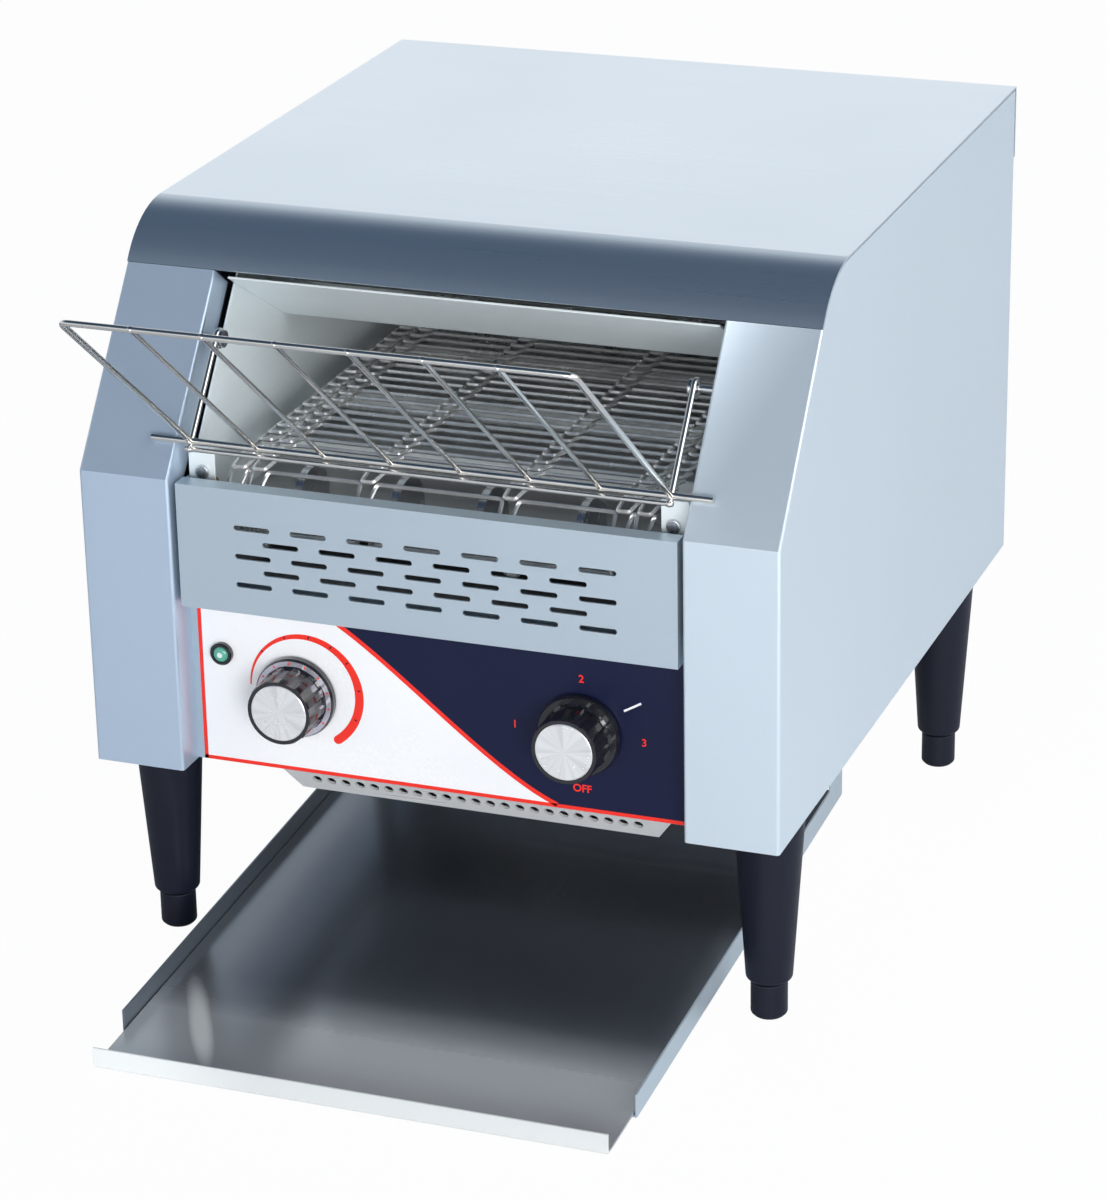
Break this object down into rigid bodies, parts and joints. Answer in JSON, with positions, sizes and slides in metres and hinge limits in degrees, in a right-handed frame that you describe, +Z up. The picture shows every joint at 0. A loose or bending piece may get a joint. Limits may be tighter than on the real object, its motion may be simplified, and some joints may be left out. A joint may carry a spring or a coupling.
{
  "type": "conveyor toaster",
  "caption": "Countertop conveyor toaster: steel casing on adjustable legs, wire belt between quartz heaters, hinged feed rack, two control knobs and a sliding tray below.",
  "frame": {"origin": "on the counter surface, under the middle of the toaster's bounding box, with the feed rack at rest", "axes": "+Z up, +Y from the feed side to the back, +X to the right as the operator sees it; the depth along Y is the longest side and the width along X the shortest"},
  "size_m": [0.368, 0.5582, 0.394],
  "materials": {
    "stainless": "brushed stainless sheet",
    "bright_steel": "bright-drawn wire and polished sheet",
    "overlay": "printed polycarbonate film, white and navy with a red line",
    "black_plastic": "moulded plastic, satin black",
    "knob_black": "moulded plastic, gloss black",
    "knob_metal": "spun aluminium disc",
    "quartz": "satin quartz tube",
    "ceramic": "unglazed ceramic",
    "bronze": "sintered bronze",
    "chain_steel": "oiled steel chain",
    "motor_paint": "zinc-plated and painted",
    "control_plastic": "moulded thermoset",
    "terminal_plastic": "moulded polyamide",
    "lamp_green": "translucent green lens"
  },
  "bodies": {
    "casing": {"side_panel_left": "stainless", "side_panel_right": "stainless", "top_cover": "stainless", "rear_panel": "stainless", "base_plate": "stainless", "underside_pan": "bright_steel", "vent_panel": "stainless", "control_panel": "stainless", "panel_overlay": "overlay", "electrics_shield": "stainless", "liner_left": "stainless", "liner_right": "stainless", "front_deflector": "stainless", "upper_reflector": "bright_steel", "lower_reflector": "bright_steel", "upper_heaters": "quartz", "lower_heaters": "quartz", "heater_holders": "ceramic", "toast_chute": "bright_steel", "belt_top_run": "bright_steel", "belt_front_wrap": "bright_steel", "belt_bottom_run": "bright_steel", "belt_rear_wrap": "bright_steel", "shaft_bushes": "bronze", "drive_chain": "chain_steel", "gear_motor": "motor_paint", "fan_frame": "control_plastic", "speed_regulator": "control_plastic", "mode_switch": "control_plastic", "pilot_lamp_ring": "knob_black", "pilot_lamp_lens": "lamp_green", "terminal_block": "terminal_plastic", "cable_gland": "black_plastic", "leg_front_left": "black_plastic", "leg_front_right": "black_plastic", "leg_rear_left": "black_plastic", "leg_rear_right": "black_plastic", "tray_guide_left": "stainless", "tray_guide_right": "stainless", "rack_studs": "bright_steel", "casing_screws": "bright_steel"},
    "feed_rack": {"feed_rack": "bright_steel"},
    "tray": {"tray": "bright_steel"},
    "speed_knob": {"speed_knob": "knob_black", "speed_knob_cap": "knob_metal", "speed_spindle": "bright_steel"},
    "mode_knob": {"mode_knob": "knob_black", "mode_knob_cap": "knob_metal", "mode_spindle": "bright_steel"},
    "drive_shaft": {"drive_shaft": "bright_steel", "drive_sprockets": "bright_steel", "shaft_chain_sprocket": "bright_steel"},
    "idler_shaft": {"idler_shaft": "bright_steel", "idler_sprockets": "bright_steel"},
    "motor_output": {"motor_output": "bright_steel"},
    "fan_rotor": {"fan_rotor": "control_plastic"},
    "foot_front_left": {"foot_front_left": "black_plastic"},
    "foot_front_right": {"foot_front_right": "black_plastic"},
    "foot_rear_left": {"foot_rear_left": "black_plastic"},
    "foot_rear_right": {"foot_rear_right": "black_plastic"}
  },
  "joints": [
    {"name": "rack_lift", "type": "hinge", "parent": "casing", "child": "feed_rack", "pos_m": [0, -0.10923, 0.33047], "axis": [-1, 0, 0], "range_deg": [0, 70]},
    {"name": "tray_slide", "type": "slide", "parent": "casing", "child": "tray", "axis": [0, -1, 0], "range_m": [0, 0.12]},
    {"name": "speed_turn", "type": "hinge", "parent": "casing", "child": "speed_knob", "pos_m": [-0.077, -0.14826, 0.155], "axis": [0, 1, 0], "range_deg": [-140, 140]},
    {"name": "mode_turn", "type": "hinge", "parent": "casing", "child": "mode_knob", "pos_m": [0.0755, -0.14826, 0.155], "axis": [0, 1, 0], "range_deg": [-180, 90]},
    {"name": "drive_spin", "type": "hinge", "parent": "casing", "child": "drive_shaft", "pos_m": [0, -0.12026, 0.252], "axis": [-1, 0, 0], "continuous": true},
    {"name": "idler_spin", "type": "hinge", "parent": "casing", "child": "idler_shaft", "pos_m": [0, 0.18774, 0.252], "axis": [-1, 0, 0], "continuous": true},
    {"name": "motor_spin", "type": "hinge", "parent": "casing", "child": "motor_output", "pos_m": [0, -0.03826, 0.165], "axis": [-1, 0, 0], "continuous": true},
    {"name": "fan_spin", "type": "hinge", "parent": "casing", "child": "fan_rotor", "pos_m": [-0.055, -0.02826, 0.12], "axis": [0, 0, 1], "continuous": true},
    {"name": "foot_front_left_screw", "type": "slide", "parent": "casing", "child": "foot_front_left", "axis": [0, 0, -1], "range_m": [0, 0.015]},
    {"name": "foot_front_right_screw", "type": "slide", "parent": "casing", "child": "foot_front_right", "axis": [0, 0, -1], "range_m": [0, 0.015]},
    {"name": "foot_rear_left_screw", "type": "slide", "parent": "casing", "child": "foot_rear_left", "axis": [0, 0, -1], "range_m": [0, 0.015]},
    {"name": "foot_rear_right_screw", "type": "slide", "parent": "casing", "child": "foot_rear_right", "axis": [0, 0, -1], "range_m": [0, 0.015]}
  ],
  "couplings": [
    {"joint": "idler_spin", "follows": "drive_spin", "ratio": 1},
    {"joint": "motor_spin", "follows": "drive_spin", "ratio": 1.6667}
  ]
}
